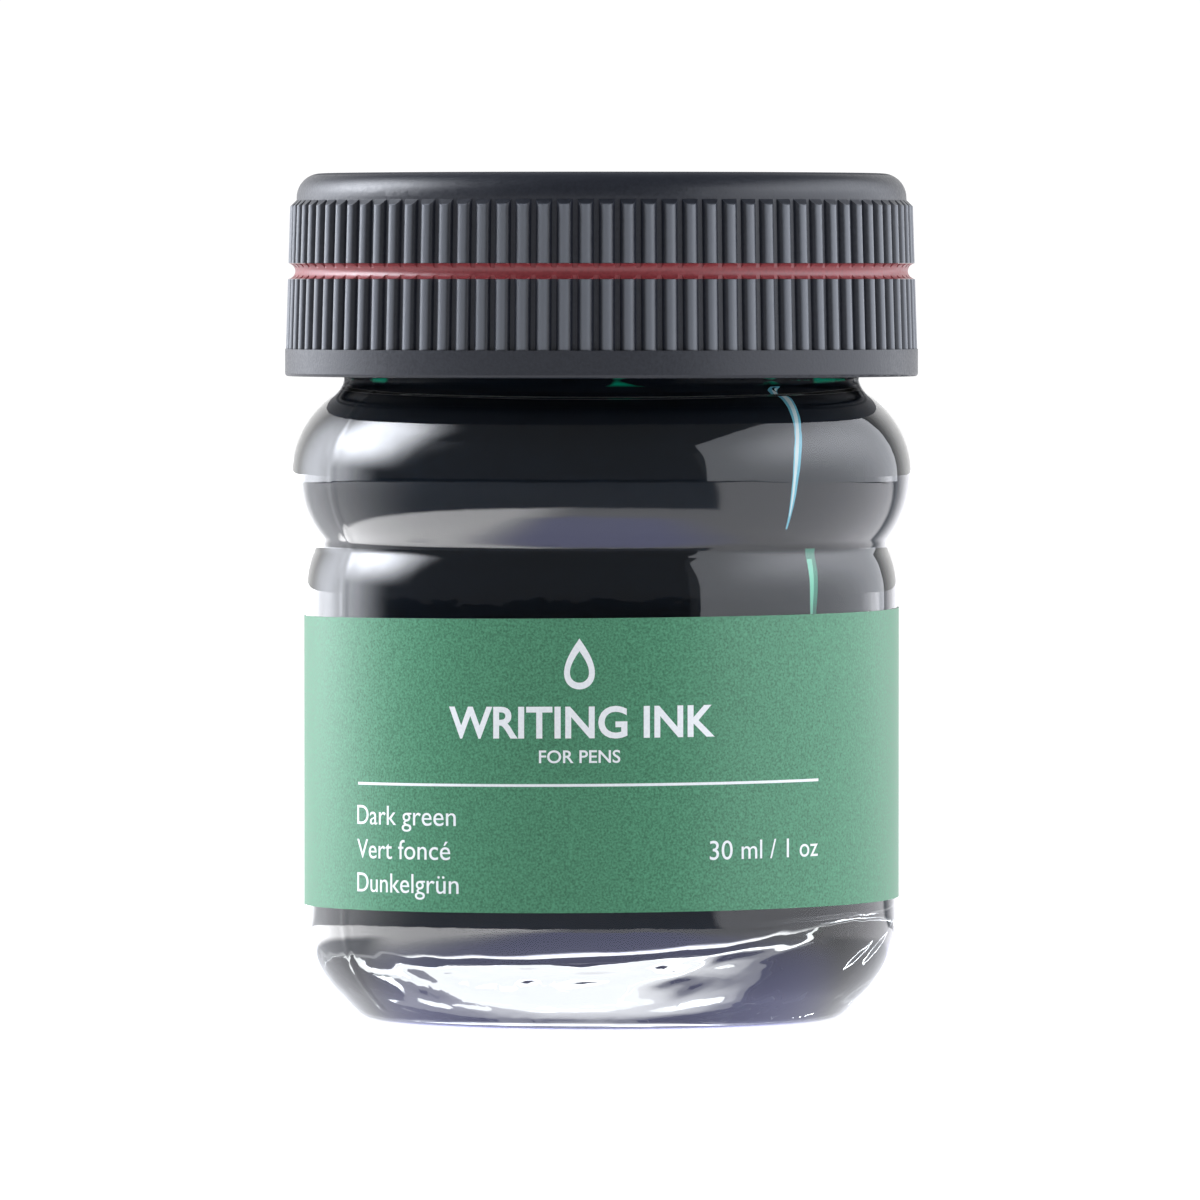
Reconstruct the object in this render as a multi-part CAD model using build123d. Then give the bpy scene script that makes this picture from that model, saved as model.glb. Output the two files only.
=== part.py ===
from build123d import *
import os
from math import cos, pi, radians, sin

# Thirty-millilitre screw-cap ink bottle: a thick moulded glass jar, its ink and
# wrap label, and a two-part screw cap with a red ring and a loose sealing wad.
# Millimetres.  +Z is up, the label's middle faces -Y, and the origin is the
# centre of the ring that the jar stands on.

# ---- Jar, outside ----------------------------------------------------------
body_radius = 18.88
foot_inset = 3.72            # edge of the standing ring, in from the body wall
foot_round = 0.7
heel_break_inset = 1.87      # where the slanted foot meets the heel arc
heel_break_height = 1.92
heel_height = 6.72           # top of the heel arc, where the wall turns vertical
panel_height = 20.58         # straight wall behind the label
waist_depth = 0.73           # how far the waist goes in from the body wall
waist_rise = 2.95            # from the panel's top to the waist
waist_round = 0.5
bulge_proud = 0.90           # how far the bulge stands out from the body wall
bulge_rise = 4.44            # from the waist to the bulge's widest ring
shoulder_rise = 5.50         # from the widest ring to the neck bead
bead_inset = 3.33            # from the widest ring in to the neck bead's edge
bead_height = 1.01
shoulder_round = 1.2
bead_round = 0.25
bead_land = 0.02             # straight stretch kept between the two rounds

# ---- Jar, inside -----------------------------------------------------------
wall = 2.12
inner_shoulder_out = 1.428   # where the shoulder's inside ends, out from the bore
inner_shoulder_drop = 1.714  # and how far it lies below the bead
throat_rise = 0.714          # from there up to the straight bore
standing_ring_width = 1.76
push_up_depth = 1.1
push_up_bow = (0.6, 0.72)    # a point the dome passes, in shares of radius and depth
floor_height = 5.30          # inner floor on the axis
floor_tilt_deg = 3.0         # the moulded floor lies lower on the left
floor_round = 3.0
throat_round = 1.2
inner_waist_round = 1.5

# ---- Neck and its thread ---------------------------------------------------
bead_step = 1.65             # how far the bead stands out from the neck
neck_wall = 2.80
rim_round = 0.8
thread_pitch = 4.233         # six turns to the inch
thread_height = 1.25
thread_root_half = 1.35      # half the ridge's width where it leaves the neck
thread_flank_slope = 0.51    # narrowing of each flank for each mm outwards
thread_first_z = 2.45        # start of the ridge's centre above the bead's top
thread_turns = 1.15
thread_to_rim = 2.382        # from the end of the ridge's centre up to the rim
thread_fade_deg = 40.0
thread_root_sink = 0.3       # how deep the ridge's root is set into the wall
thread_fade_sink = 0.1       # how deep its ends run into the neck
thread_fade_margin_deg = 8.0

# ---- Ink and label ---------------------------------------------------------
ink_level_above_shoulder = 0.1
ink_gap = 0.02
label_foot_gap = 0.83        # from the heel's top to the label's lower edge
label_top_gap = 1.30         # from the label's upper edge to the panel's top
label_glue = 0.02
label_paper = 0.09
label_gap_deg = 10.0         # bare glass between the label's ends, at the back

# ---- Cap shell -------------------------------------------------------------
crown_draft = 0.29           # how far the crowns come in towards the upper end
rib_depth = 0.40
rib_count = 93
rib_gap = 0.30               # width of the flat valley between two ribs
rib_end_round = 0.25
skirt_proud = 0.05           # the plain band stands a little past the crowns
skirt_height = 1.73
ring_height = 1.02
upper_rib_height = 4.01
dome_height = 1.71
dome_round = 1.54
shell_wall = 1.55            # below the rib valleys
shell_top = 1.0
shell_lead_in = 0.3
shell_bead_round = 0.2       # ring-shaped bead that keeps the insert in
shell_bead_sink = 0.05       # how far the bead's centre lies inside the wall
shell_bead_lift = 0.1
skirt_over_bead = 0.19       # how far the skirt hangs below the bead's top
skirt_edge_round = 0.2

# ---- Red ring --------------------------------------------------------------
ring_channel_depth = 1.10    # channel in the shell, in from the crowns
ring_groove_depth = 0.45
ring_fit = 0.02

# ---- Threaded insert and wad -----------------------------------------------
thread_radial_gap = 0.35     # cap to neck, at both crests
thread_seat_gap = 0.12       # between the loaded flanks when screwed home
thread_back_gap = 0.57       # behind the cap's ridge, to the turn below
cap_thread_turns = 1.3
cap_thread_first_turn = 0.35 # where it starts along the neck's helix, in turns
insert_wall = 0.90
insert_top_wall = 0.89
insert_top_fit = 0.05
insert_foot_gap = 0.50       # insert's lower edge above the bead
drive_rib_count = 24
drive_rib_width = 0.9
drive_rib_reach = 0.60       # out from the insert's wall
drive_rib_foot = 1.0
drive_rib_head = 0.6
drive_rib_root = 0.3
drive_rib_gap = 0.02
insert_flange_height = 0.6
backing_thickness = 1.0
facing_thickness = 0.10
wad_edge_gap = 0.45          # wad's edge in from the insert's wall
wad_bead_overlap = 0.25      # how far the retaining bead reaches under the wad
wad_bead_drop = 0.15
wad_bead_height = 0.5
wad_bead_slope = 0.4
wad_bead_root = 0.2

# ---- Heights and radii worked out from the values above --------------------
foot_radius = body_radius - foot_inset
push_up_radius = foot_radius - standing_ring_width
panel_top = heel_height + panel_height
waist_z = panel_top + waist_rise
waist_radius = body_radius - waist_depth
bulge_z = waist_z + bulge_rise
bulge_radius = body_radius + bulge_proud
bead_z = bulge_z + shoulder_rise
bead_top = bead_z + bead_height
bead_radius = bulge_radius - bead_inset
neck_radius = bead_radius - bead_step
bore_radius = neck_radius - neck_wall
neck_height = thread_first_z + thread_pitch * thread_turns + thread_to_rim
rim_z = bead_top + neck_height
ink_level = bead_z + ink_level_above_shoulder
thread_crest_radius = neck_radius + thread_height
thread_start_z = bead_top + thread_first_z
insert_bore = thread_crest_radius + thread_radial_gap
cap_thread_crest_radius = neck_radius + thread_radial_gap
neck_half_at_cap_crest = thread_root_half - thread_radial_gap * thread_flank_slope
thread_room = thread_pitch - 2 * neck_half_at_cap_crest
cap_thread_crest_half = (thread_room - thread_seat_gap - thread_back_gap) / 2
insert_radius = insert_bore + insert_wall
insert_ceiling = rim_z + facing_thickness + backing_thickness
insert_top = insert_ceiling + insert_top_wall
shell_bore = insert_radius + drive_rib_reach + drive_rib_gap
crown_radius_high = shell_bore + shell_wall + rib_depth
crown_radius_low = crown_radius_high + crown_draft
cap_top = insert_top + insert_top_fit + shell_top
ribs_top = cap_top - dome_height
ring_top = ribs_top - upper_rib_height
ring_z = ring_top - ring_height
skirt_z = bead_top - skirt_over_bead
ribs_z = skirt_z + skirt_height


def crown_radius(z):
    """Rib crown radius at height z: the cap narrows a little towards its top."""
    share = (z - ribs_z) / (ribs_top - ribs_z)
    return crown_radius_low + (crown_radius_high - crown_radius_low) * share


def profile(*edges):
    """Half section drawn as (radius, height), as one face."""
    return make_face(Wire([edge for curve in edges for edge in curve.edges()]).edges())


def turned(section, angle=360.0):
    """The solid that a half section sweeps about the vertical axis."""
    return revolve(Plane.XZ * section, axis=Axis.Z, revolution_arc=angle)


def rounded(section, radius, *points):
    """Round the section's corners that lie at the given points."""
    for point in points:
        corner = section.vertices().sort_by_distance(Vector(*point))[0]
        section = fillet(corner, radius)
    return section


def ring_solid(inner, outer, low, high):
    """Plain ring or disc between two heights."""
    section = Polyline((inner, low), (outer, low), (outer, high), (inner, high), close=True)
    return turned(make_face(section))


def bulging(top_or_widest, end, upwards):
    """Arc that leaves its first point vertically and ends at the second."""
    return TangentArc(top_or_widest, end, tangent=(0, 1 if upwards else -1))


# ---- Glass jar -------------------------------------------------------------
def jar_outside():
    """Solid of the jar's outer shape, with the push-up under its base."""
    heel_break = (body_radius - heel_break_inset, heel_break_height)
    waist = (waist_radius, waist_z)
    widest = (bulge_radius, bulge_z)
    section = profile(
        Line((0, 0), (foot_radius, 0)),
        Line((foot_radius, 0), heel_break),
        bulging((body_radius, heel_height), heel_break, upwards=False),
        Line((body_radius, heel_height), (body_radius, panel_top)),
        bulging((body_radius, panel_top), waist, upwards=True),
        bulging(widest, waist, upwards=False),
        bulging(widest, (bead_radius, bead_z), upwards=True),
        Line((bead_radius, bead_z), (bead_radius, bead_top)),
        Line((bead_radius, bead_top), (neck_radius, bead_top)),
        Line((neck_radius, bead_top), (neck_radius, rim_z)),
        Line((neck_radius, rim_z), (0, rim_z)),
        Line((0, rim_z), (0, 0)),
    )
    section = rounded(section, foot_round, (foot_radius, 0))
    section = rounded(section, waist_round, waist)
    shoulder_limit = (bead_height - bead_round - bead_land) * shoulder_rise / bead_inset
    section = rounded(section, min(shoulder_round, shoulder_limit), (bead_radius, bead_z))
    section = rounded(section, bead_round, (bead_radius, bead_top))
    section = rounded(section, rim_round, (neck_radius, rim_z))
    return turned(section)


def push_up():
    """Shallow dome pressed up into the base, inside the standing ring."""
    arch = ThreePointArc(
        (0, push_up_depth),
        (push_up_radius * push_up_bow[0], push_up_depth * push_up_bow[1]),
        (push_up_radius, 0),
    )
    section = profile(arch, Line((push_up_radius, 0), (0, 0)), Line((0, 0), (0, push_up_depth)))
    return turned(section)


def jar_inside(gap, top):
    """Space inside the glass up to a height, drawn in by a gap."""
    thickness = wall + gap
    throat_radius = bore_radius - gap
    inner_body = body_radius - thickness
    inner_waist = (waist_radius - thickness, waist_z)
    inner_widest = (bulge_radius - thickness, bulge_z)
    shoulder = (bore_radius + inner_shoulder_out, bead_z - inner_shoulder_drop - gap)
    throat = (throat_radius, shoulder[1] + throat_rise)
    section = profile(
        Line((0, 0), (inner_body, 0)),
        Line((inner_body, 0), (inner_body, panel_top)),
        bulging((inner_body, panel_top), inner_waist, upwards=True),
        bulging(inner_widest, inner_waist, upwards=False),
        bulging(inner_widest, shoulder, upwards=True),
        Line(shoulder, throat),
        Line(throat, (throat_radius, rim_z)),
        Line((throat_radius, rim_z), (0, rim_z)),
        Line((0, rim_z), (0, 0)),
    )
    section = rounded(section, inner_waist_round, inner_waist)
    section = rounded(section, throat_round, throat)
    space = turned(section)
    reach = 4 * body_radius
    below_floor = Location((0, 0, floor_height + gap), (0, -floor_tilt_deg, 0)) * Box(
        reach, reach, reach, align=(Align.CENTER, Align.CENTER, Align.MAX)
    )
    space -= below_floor
    floor_edge = space.edges().sort_by(Axis.Z)[0]
    space = fillet(floor_edge, floor_round)
    above = Pos(0, 0, top + reach / 2) * Box(reach, reach, reach)
    return space - above


def thread_path(first_z, turns, radius):
    return Helix(thread_pitch, thread_pitch * turns, radius, center=(0, 0, first_z))


def neck_thread():
    """Outside thread: one rounded-off ridge that fades in and out of the neck."""
    root = neck_radius - thread_root_sink
    root_half = thread_root_half + thread_root_sink * thread_flank_slope
    crest_half = thread_root_half - thread_height * thread_flank_slope
    section = Polyline(
        (root, -root_half),
        (thread_crest_radius, -crest_half),
        (thread_crest_radius, crest_half),
        (root, root_half),
        close=True,
    )
    section = Pos(0, 0, thread_start_z) * (Plane.XZ * make_face(section))
    path = thread_path(thread_start_z, thread_turns, neck_radius)
    ridge = sweep(section, path=path, is_frenet=True)
    last_angle = 360.0 * thread_turns
    last_z = thread_start_z + thread_pitch * thread_turns
    ridge -= thread_fade(0.0, thread_start_z, 1)
    ridge -= thread_fade(last_angle, last_z, -1)
    return ridge


def thread_fade(end_angle, end_z, direction):
    """Cutter that lets the ridge sink into the neck over its last stretch."""
    fade = radians(thread_fade_deg)
    sunk = neck_radius - thread_fade_sink
    offset = (thread_crest_radius**2 - sunk**2) / (2 * (thread_crest_radius - sunk * cos(fade)))
    trim = Cylinder(thread_crest_radius - offset, 2 * thread_pitch)
    full = end_angle + direction * thread_fade_deg
    trim = Pos(offset * cos(radians(full)), offset * sin(radians(full)), end_z) * trim
    rise = thread_pitch * thread_fade_deg / 360.0
    block_height = 2 * (thread_root_half + thread_root_sink) + rise
    low_angle = min(end_angle - direction * thread_fade_margin_deg, full)
    block_z = end_z + direction * rise / 2 - block_height / 2
    slice_of_disc = sector(thread_crest_radius + 1.0, thread_fade_deg + thread_fade_margin_deg)
    block = Location((0, 0, block_z), (0, 0, low_angle)) * extrude(slice_of_disc, block_height)
    return block - trim


def sector(radius, angle):
    """Flat slice of a disc, from the X axis round by an angle."""
    tip = (radius * cos(radians(angle)), radius * sin(radians(angle)))
    middle = (radius * cos(radians(angle / 2)), radius * sin(radians(angle / 2)))
    return profile(Line((0, 0), (radius, 0)), ThreePointArc((radius, 0), middle, tip), Line(tip, (0, 0)))


def make_glass_jar():
    return jar_outside() + neck_thread() - push_up() - jar_inside(0.0, rim_z + 1.0)


def make_ink():
    return jar_inside(ink_gap, ink_level)


def make_label():
    """Paper wrapped round the straight panel, its ends apart at the back."""
    inner = body_radius + label_glue
    low = heel_height + label_foot_gap
    high = panel_top - label_top_gap
    section = Polyline(
        (inner, low),
        (inner + label_paper, low),
        (inner + label_paper, high),
        (inner, high),
        close=True,
    )
    return Rot(0, 0, 90.0 + label_gap_deg / 2) * turned(make_face(section), 360.0 - label_gap_deg)


# ---- Cap -------------------------------------------------------------------
def rib_outline(z):
    """Cap section at height z: rounded crowns with narrow flat valleys."""
    crown = crown_radius(z)
    valley = crown - rib_depth
    step = 2 * pi / rib_count
    half = (step - rib_gap / valley) / 2
    edges = []
    for index in range(rib_count):
        angle = index * step
        start = (valley * cos(angle - half), valley * sin(angle - half), z)
        middle = (crown * cos(angle), crown * sin(angle), z)
        end = (valley * cos(angle + half), valley * sin(angle + half), z)
        following = (valley * cos(angle + step - half), valley * sin(angle + step - half), z)
        edges.append(ThreePointArc(start, middle, end))
        edges.append(Line(end, following))
    return profile(*edges)


def ribbed(low, high):
    """Ribbed plug between two heights, with the cap's draft."""
    return loft([rib_outline(low), rib_outline(high)], ruled=True)


def rib_envelope():
    """Turned shape that rounds the ribs' upper ends over."""
    low = ribs_z - 1.0
    section = Polyline(
        (0, low),
        (crown_radius(low) + 1.0, low),
        (crown_radius(low) + 1.0, ribs_top - rib_depth),
        (crown_radius(ribs_top - rib_depth), ribs_top - rib_depth),
        (crown_radius(ribs_top) - rib_depth, ribs_top),
        (0, ribs_top),
        close=True,
    )
    section = rounded(
        make_face(section), rib_end_round, (crown_radius(ribs_top - rib_depth), ribs_top - rib_depth)
    )
    return turned(section)


def shell_hollow():
    """Bore of the shell, with a lead-in and a bead that keeps the insert in."""
    ceiling = cap_top - shell_top
    bead_mid = skirt_z + insert_foot_gap / 2 + shell_bead_lift
    section = Polyline(
        (0, skirt_z - 1.0),
        (shell_bore + shell_lead_in, skirt_z - 1.0),
        (shell_bore + shell_lead_in, skirt_z),
        (shell_bore, skirt_z + shell_lead_in),
        (shell_bore, ceiling),
        (0, ceiling),
        close=True,
    )
    hollow = turned(make_face(section))
    bead = Pos(0, 0, bead_mid) * Torus(shell_bore + shell_bead_sink, shell_bead_round)
    return hollow - bead


def plug(radius, low, high, corner_z, corner_round):
    """Solid disc between two heights, with one of its edges rounded."""
    section = Polyline((0, low), (radius, low), (radius, high), (0, high), close=True)
    return turned(rounded(make_face(section), corner_round, (radius, corner_z)))


def make_cap_shell():
    skirt_radius = crown_radius(ribs_z) + skirt_proud
    skirt = plug(skirt_radius, skirt_z, ribs_z, skirt_z, skirt_edge_round)
    dome_radius = crown_radius(ribs_top) - rib_depth
    dome = plug(dome_radius, ring_top, cap_top, cap_top, dome_round)
    channel_radius = crown_radius(ring_z) - ring_channel_depth
    core = Pos(0, 0, ring_z + ring_height / 2) * Cylinder(channel_radius, ring_height)
    upper_ribs = ribbed(ring_top, ribs_top) & rib_envelope()
    body = skirt + ribbed(ribs_z, ring_z) + core + upper_ribs + dome
    return body - shell_hollow()


def make_red_ring():
    """Ring that fills the channel and carries the ribs on, hollowed by a groove."""
    low = ring_z + ring_fit
    high = ring_top - ring_fit
    blank = loft([rib_outline(low), rib_outline(high)], ruled=True)
    bore = crown_radius(ring_z) - ring_channel_depth + ring_fit
    crown = crown_radius((low + high) / 2)
    middle = (low + high) / 2
    half = (high - low) / 2
    groove = profile(
        ThreePointArc((crown, low), (crown - ring_groove_depth, middle), (crown, high)),
        Line((crown, high), (crown + half, high)),
        Line((crown + half, high), (crown + half, low)),
        Line((crown + half, low), (crown, low)),
    )
    return blank - turned(groove) - ring_solid(0, bore, low - 1.0, high + 1.0)


def make_cap_insert():
    """Threaded inner closure with drive ribs outside and a wad bead inside."""
    foot = bead_top + insert_foot_gap
    reach = insert_radius + drive_rib_reach
    body = ring_solid(0, insert_radius, foot, insert_top)
    body += ring_solid(insert_bore, reach, foot, foot + insert_flange_height)
    rib_low = foot + drive_rib_foot
    rib_height = insert_top - drive_rib_head - rib_low
    rib_length = drive_rib_reach + drive_rib_root
    rib = Box(rib_length, drive_rib_width, rib_height)
    rib = Pos(reach - rib_length / 2, 0, rib_low + rib_height / 2) * rib
    for index in range(drive_rib_count):
        body += Rot(0, 0, 360.0 * index / drive_rib_count) * rib
    hollow = ring_solid(0, insert_bore, foot - 1.0, insert_ceiling)
    bead_inner = insert_bore - wad_edge_gap - wad_bead_overlap
    bead_root = insert_bore + wad_bead_root
    high = rim_z - wad_bead_drop
    bead = Polyline(
        (bead_inner, high),
        (bead_root, high),
        (bead_root, high - wad_bead_height - wad_bead_slope),
        (bead_inner, high - wad_bead_slope / 2),
        close=True,
    )
    return body - hollow + turned(make_face(bead)) + cap_thread()


def cap_thread():
    """Inside thread, a helix between the turns of the neck's ridge."""
    drop = neck_half_at_cap_crest + cap_thread_crest_half + thread_seat_gap
    first_z = thread_start_z - drop + thread_pitch * cap_thread_first_turn
    root = insert_bore + thread_root_sink
    root_half = cap_thread_crest_half + (root - cap_thread_crest_radius) * thread_flank_slope
    section = Polyline(
        (cap_thread_crest_radius, -cap_thread_crest_half),
        (root, -root_half),
        (root, root_half),
        (cap_thread_crest_radius, cap_thread_crest_half),
        close=True,
    )
    section = Pos(0, 0, first_z) * (Plane.XZ * make_face(section))
    path = thread_path(first_z, cap_thread_turns, insert_bore)
    ridge = sweep(section, path=path, is_frenet=True)
    return Rot(0, 0, 360.0 * cap_thread_first_turn) * ridge


def make_wad(low, thickness):
    return ring_solid(0, insert_bore - wad_edge_gap, low, low + thickness)


pieces = {
    "glass_jar": make_glass_jar(),
    "ink": make_ink(),
    "label": make_label(),
    "cap_shell": make_cap_shell(),
    "red_ring": make_red_ring(),
    "cap_insert": make_cap_insert(),
    "wad_facing": make_wad(rim_z, facing_thickness),
    "wad_backing": make_wad(rim_z + facing_thickness, backing_thickness),
}

os.makedirs("parts", exist_ok=True)
for name, piece in pieces.items():
    piece.label = name
    export_step(piece, f"parts/{name}.step")
    print(f"{name}: {len(piece.solids())} solid, {piece.volume / 1000:.2f} ml")
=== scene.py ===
from math import atan2, cos, hypot, pi, radians, sin, tan

import bpy
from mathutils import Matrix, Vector, noise


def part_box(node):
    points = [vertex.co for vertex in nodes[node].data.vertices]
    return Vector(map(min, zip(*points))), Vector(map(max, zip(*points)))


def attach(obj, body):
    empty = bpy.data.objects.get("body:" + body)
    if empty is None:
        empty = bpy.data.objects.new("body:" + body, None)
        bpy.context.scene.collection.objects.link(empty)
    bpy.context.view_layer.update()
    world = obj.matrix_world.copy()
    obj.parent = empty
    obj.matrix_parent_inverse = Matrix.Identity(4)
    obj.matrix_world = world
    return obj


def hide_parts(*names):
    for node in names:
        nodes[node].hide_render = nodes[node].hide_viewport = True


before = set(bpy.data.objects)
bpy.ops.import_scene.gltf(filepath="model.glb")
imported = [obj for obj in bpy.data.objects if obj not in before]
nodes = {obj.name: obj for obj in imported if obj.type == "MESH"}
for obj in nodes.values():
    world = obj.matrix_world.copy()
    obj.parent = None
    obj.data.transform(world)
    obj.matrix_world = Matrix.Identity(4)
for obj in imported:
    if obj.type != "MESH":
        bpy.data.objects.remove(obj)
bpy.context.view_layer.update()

# A glass bottle of dark green writing ink with a ribbed black screw cap.  The
# cap, its red ring, the threaded insert and the wad are the CAD parts with
# moulded finishes.  The jar, the ink, the label and its print are made here.
# Lengths are in metres; MM turns the maker's millimetres into them.

MM = 0.001

# ---- Sizes that the jar, the ink and the label share ------------------------
BODY_R = 18.88 * MM
HEEL_TOP = 6.72 * MM
PANEL_TOP = 27.30 * MM
WAIST = (18.15 * MM, 30.25 * MM)
BULGE = (19.78 * MM, 34.69 * MM)
BEAD_R = 16.45 * MM
BEAD_LOW = 40.19 * MM
BEAD_TOP = 41.20 * MM
NECK_R = 14.80 * MM
RIM_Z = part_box("glass_jar")[1][2]
RIM_ROUND = 0.80 * MM
BORE_R = 12.00 * MM
WALL = 2.12 * MM
FLOOR_Z = 5.38 * MM
FLOOR_TILT = radians(1.6)
FLOOR_ROUND = 3.0 * MM
FLOOR_SAG = 1.35 * MM
FLOOR_CLIMB = 0.9 * MM
FLOOR_WAVE = 0.10 * MM
FLOOR_RIPPLE = 0.034 * MM
INK_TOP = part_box("ink")[1][2]
THREAD_PITCH = 4.233 * MM
THREAD_START = 43.65 * MM
THREAD_TURNS = 1.15
THREAD_HEIGHT = 1.25 * MM
THREAD_HALF = 1.35 * MM
THREAD_FLANK = 0.66 * MM
THREAD_FADE_TURNS = 0.1
LABEL_R = BODY_R + 0.02 * MM
LABEL_PAPER = 0.09 * MM
CROWN_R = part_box("cap_shell")[1][0] - 0.05 * MM
CAP_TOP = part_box("cap_shell")[1][2]
RIBS_LOW = 42.75 * MM
RIB_DRAFT = 0.031
JAR_STEPS = 320
INK_STEPS = 192
MERGE = 0.004 * MM


# ---- Small helpers ----------------------------------------------------------
def deselect():
    if bpy.context.object and bpy.context.object.mode != "OBJECT":
        bpy.ops.object.mode_set(mode="OBJECT")
    bpy.ops.object.select_all(action="DESELECT")


def use(piece):
    """Make one piece the active and only selected one."""
    deselect()
    piece.select_set(True)
    bpy.context.view_layer.objects.active = piece


def named(name):
    piece = bpy.context.object
    piece.name = name
    piece.data.name = name
    return piece


def settle(piece):
    """Put the place into the mesh, so that the object sits at the origin."""
    use(piece)
    bpy.ops.object.transform_apply(location=True, rotation=True, scale=True)


def smooth(piece, angle=40.0):
    use(piece)
    bpy.ops.object.shade_smooth_by_angle(angle=radians(angle))


def dress(piece, material):
    piece.data.materials.clear()
    piece.data.materials.append(material)


# ---- Outlines: lists of (radius, height) ------------------------------------
def line(start, end, count):
    return [
        (start[0] + (end[0] - start[0]) * i / count, start[1] + (end[1] - start[1]) * i / count)
        for i in range(1, count + 1)
    ]


def arc_off_wall(widest, end, count):
    """Arc that leaves its widest point upright and reaches the end point."""
    across = widest[0] - end[0]
    along = end[1] - widest[1]
    radius = (across**2 + along**2) / (2 * across)
    centre = widest[0] - radius
    last = atan2(along, end[0] - centre)
    return [
        (centre + radius * cos(last * i / count), widest[1] + radius * sin(last * i / count))
        for i in range(1, count + 1)
    ]


def soften(outline, corner, reach, count=6):
    """Replace the stretch near a corner with a smooth bend."""
    near = [i for i, p in enumerate(outline) if hypot(p[0] - corner[0], p[1] - corner[1]) < reach]
    first, last = near[0] - 1, near[-1] + 1
    a, b = outline[first], outline[last]
    bend = []
    for i in range(1, count):
        t = i / count
        bend.append(
            tuple((1 - t) ** 2 * a[k] + 2 * t * (1 - t) * corner[k] + t**2 * b[k] for k in (0, 1))
        )
    return outline[: first + 1] + bend + outline[last:]


def jar_outer_outline():
    """From the middle of the base out, up the wall and over the neck to the rim."""
    push_up, push_r = 1.1 * MM, 13.4 * MM
    foot = (15.16 * MM, 0.0)
    heel_break = (17.01 * MM, 1.92 * MM)
    outline = [(push_r * i / 16, push_up * (1 - (i / 16) ** 2)) for i in range(17)]
    outline += line((push_r, 0.0), foot, 8)
    outline += line(foot, heel_break, 12)
    heel = [(BODY_R, HEEL_TOP)] + arc_off_wall((BODY_R, HEEL_TOP), heel_break, 14)
    outline += heel[::-1][1:]
    outline += line((BODY_R, HEEL_TOP), (BODY_R, PANEL_TOP), 14)
    outline += arc_off_wall((BODY_R, PANEL_TOP), WAIST, 10)
    outline += ([BULGE] + arc_off_wall(BULGE, WAIST, 18))[::-1][1:]
    outline += arc_off_wall(BULGE, (BEAD_R, BEAD_LOW), 20)
    outline += line((BEAD_R, BEAD_LOW), (BEAD_R, BEAD_TOP), 6)
    outline += line((BEAD_R, BEAD_TOP), (NECK_R, BEAD_TOP), 6)
    outline += line((NECK_R, BEAD_TOP), (NECK_R, RIM_Z), 62)
    outline += line((NECK_R, RIM_Z), (BORE_R, RIM_Z), 12)
    outline += line((BORE_R, RIM_Z), (BORE_R, RIM_Z - RIM_ROUND), 4)
    outline = soften(outline, (push_r, 0.0), 0.5 * MM)
    outline = soften(outline, foot, 0.6 * MM)
    outline = soften(outline, WAIST, 0.45 * MM, 8)
    outline = soften(outline, (BEAD_R, BEAD_LOW), 0.75 * MM, 8)
    outline = soften(outline, (BEAD_R, BEAD_TOP), 0.3 * MM)
    outline = soften(outline, (NECK_R, BEAD_TOP), 0.3 * MM)
    outline = soften(outline, (NECK_R, RIM_Z), RIM_ROUND, 8)
    return soften(outline, (BORE_R, RIM_Z), RIM_ROUND * 0.95, 8)


def jar_inner_outline(gap, top):
    """From the given height down the inside to the middle of the floor."""
    wall = WALL + gap
    throat_r = BORE_R - gap
    shoulder = (BORE_R + 1.428 * MM, BEAD_LOW - 1.714 * MM - gap)
    throat = (throat_r, shoulder[1] + 0.714 * MM)
    widest = (BULGE[0] - wall, BULGE[1])
    waist = (WAIST[0] - wall, WAIST[1])
    body = BODY_R - wall
    floor = FLOOR_Z + gap
    outline = [(throat_r, top)]
    if top > throat[1]:
        outline += line((throat_r, top), throat, max(2, int((top - throat[1]) / (0.7 * MM))))
    outline += line(throat, shoulder, 5)
    outline += ([widest] + arc_off_wall(widest, shoulder, 18))[::-1][1:]
    outline += arc_off_wall(widest, waist, 14)
    upper = [(body, PANEL_TOP)] + arc_off_wall((body, PANEL_TOP), waist, 8)
    outline += upper[::-1][1:]
    outline += line((body, PANEL_TOP), (body, floor), 26)
    outline += line((body, floor), (0.0, floor), 24)
    outline = soften(outline, throat, 0.9 * MM, 8)
    outline = soften(outline, waist, 1.2 * MM, 8)
    return soften(outline, (body, floor), FLOOR_ROUND, 12)


def lathe(name, outline, steps):
    """Draw the outline point by point, spin it about the axis and merge its seam."""
    deselect()
    first = outline[0]
    bpy.ops.mesh.primitive_plane_add(size=0.001, location=(0, 0, 0))
    piece = named(name)
    bpy.ops.object.mode_set(mode="EDIT")
    bpy.ops.mesh.merge(type="CENTER")
    bpy.ops.transform.translate(value=(first[0], 0, first[1]))
    for before, after in zip(outline, outline[1:]):
        step = (after[0] - before[0], 0, after[1] - before[1])
        bpy.ops.mesh.extrude_region_move(TRANSFORM_OT_translate={"value": step})
    bpy.ops.mesh.select_all(action="SELECT")
    bpy.ops.mesh.spin(steps=steps, angle=2 * pi, center=(0, 0, 0), axis=(0, 0, 1))
    bpy.ops.mesh.select_all(action="SELECT")
    bpy.ops.mesh.remove_doubles(threshold=MERGE)
    bpy.ops.mesh.normals_make_consistent(inside=False)
    bpy.ops.object.mode_set(mode="OBJECT")
    return piece


# ---- Glass ------------------------------------------------------------------
def around(x, y):
    """Angle about the axis, nought at the label's middle, growing to the right."""
    return atan2(x, -y)


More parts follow.
